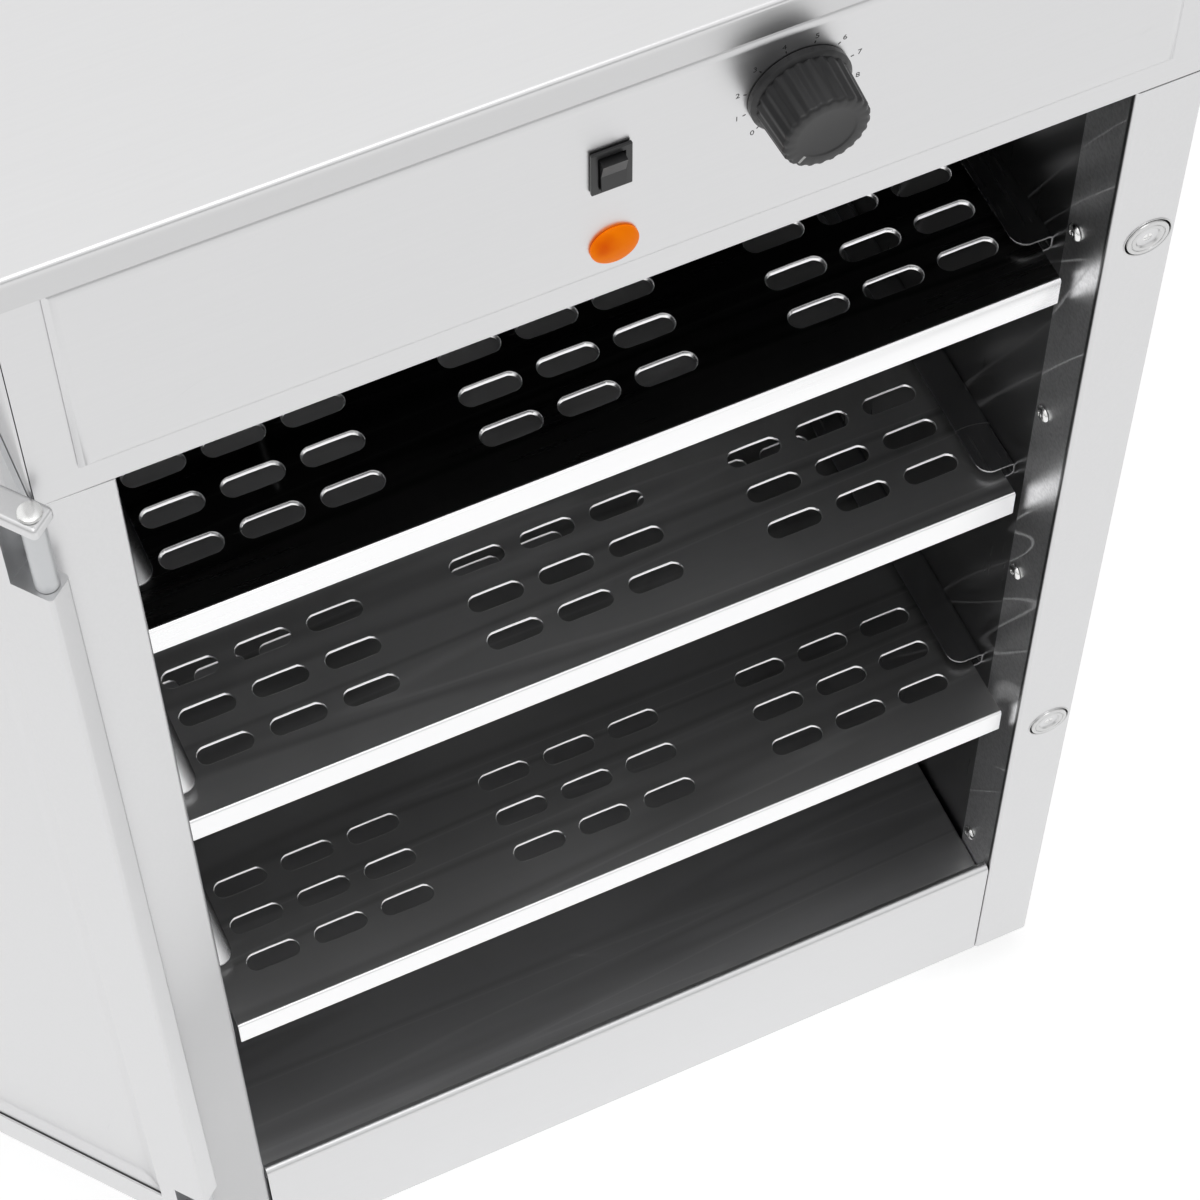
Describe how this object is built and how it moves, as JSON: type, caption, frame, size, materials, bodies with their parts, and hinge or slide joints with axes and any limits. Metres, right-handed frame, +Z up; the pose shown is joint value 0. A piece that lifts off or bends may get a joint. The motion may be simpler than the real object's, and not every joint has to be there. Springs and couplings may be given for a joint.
{
  "type": "plate warmer cabinet",
  "caption": "Free-standing stainless plate warmer: hinged door, sliding perforated shelves on channel runners, heater under the floor, control panel above the opening.",
  "frame": {"origin": "on the floor, under the centre of the box around the whole part with its door open as in the picture", "axes": "+Z up; the front of the cabinet, with its opening, faces -Y; +X is to the right of someone facing the front"},
  "size_m": [0.7388, 0.5094, 0.86],
  "materials": {
    "satin_steel": "satin stainless sheet",
    "bright_steel": "bright stainless sheet, fine grain",
    "inner_steel": "glossy stainless sheet",
    "nickel": "polished",
    "zinc_steel": "zinc-plated sheet",
    "heater_steel": "heat-darkened steel tube",
    "copper": "bare copper",
    "grey_plastic": "light grey moulding",
    "white_plastic": "white moulding",
    "amber_plastic": "clear amber, polished",
    "black_plastic": "fine matte moulding",
    "foot_plastic": "hard moulded feet"
  },
  "bodies": {
    "cabinet": {"back_panel": "satin_steel", "base_pan": "zinc_steel", "bottom_rail": "satin_steel", "cable_gland": "black_plastic", "catch_lower": "grey_plastic", "catch_screw_lower": "nickel", "catch_screw_upper": "nickel", "catch_upper": "grey_plastic", "control_panel": "satin_steel", "fascia_frame": "satin_steel", "foot_front_left": "foot_plastic", "foot_front_right": "foot_plastic", "foot_rear_left": "foot_plastic", "foot_rear_right": "foot_plastic", "heater_bracket": "zinc_steel", "heater_element": "heater_steel", "hinge_leaf_bottom": "zinc_steel", "hinge_leaf_top": "zinc_steel", "lamp_lens": "amber_plastic", "lamp_nut": "black_plastic", "liner_back": "inner_steel", "liner_ceiling": "inner_steel", "liner_floor": "inner_steel", "liner_side_left": "inner_steel", "liner_side_right": "inner_steel", "rivet_left_1": "nickel", "rivet_left_2": "nickel", "rivet_left_3": "nickel", "rivet_left_4": "nickel", "rivet_left_5": "nickel", "rivet_right_1": "nickel", "rivet_right_2": "nickel", "rivet_right_3": "nickel", "rivet_right_4": "nickel", "rivet_right_5": "nickel", "runner_bottom_left": "inner_steel", "runner_bottom_right": "inner_steel", "runner_middle_left": "inner_steel", "runner_middle_right": "inner_steel", "runner_top_left": "inner_steel", "runner_top_right": "inner_steel", "side_panel_left": "satin_steel", "side_panel_right": "satin_steel", "switch_frame": "black_plastic", "terminal_block": "white_plastic", "thermostat_body": "zinc_steel", "thermostat_bulb": "copper", "top_cover": "bright_steel"},
    "door": {"door_shell": "satin_steel", "door_liner": "inner_steel", "door_handle": "nickel", "hinge_pin_top": "nickel", "hinge_pin_bottom": "nickel"},
    "shelf_bottom": {"shelf_bottom": "bright_steel"},
    "shelf_middle": {"shelf_middle": "bright_steel"},
    "shelf_top": {"shelf_top": "bright_steel"},
    "knob": {"thermostat_knob": "black_plastic", "thermostat_spindle": "zinc_steel"},
    "rocker": {"switch_rocker": "black_plastic"}
  },
  "joints": [
    {"name": "door_hinge", "type": "hinge", "parent": "cabinet", "child": "door", "pos_m": [-0.08609, -0.2371, 0], "axis": [0, 0, -1], "range_deg": [-232, 5]},
    {"name": "shelf_bottom_slide", "type": "slide", "parent": "cabinet", "child": "shelf_bottom", "axis": [0, -1, 0], "range_m": [-0.0269, 0.1731]},
    {"name": "shelf_middle_slide", "type": "slide", "parent": "cabinet", "child": "shelf_middle", "axis": [0, -1, 0], "range_m": [-0.009, 0.191]},
    {"name": "shelf_top_slide", "type": "slide", "parent": "cabinet", "child": "shelf_top", "axis": [0, -1, 0], "range_m": [-0.0148, 0.1852]},
    {"name": "knob_turn", "type": "hinge", "parent": "cabinet", "child": "knob", "pos_m": [0.19601, -0.2296, 0.813], "axis": [0, 1, 0], "range_deg": [0, 270]},
    {"name": "rocker_tilt", "type": "hinge", "parent": "cabinet", "child": "rocker", "pos_m": [0.12741, -0.2307, 0.807], "axis": [1, 0, 0], "range_deg": [-12, 0]}
  ]
}
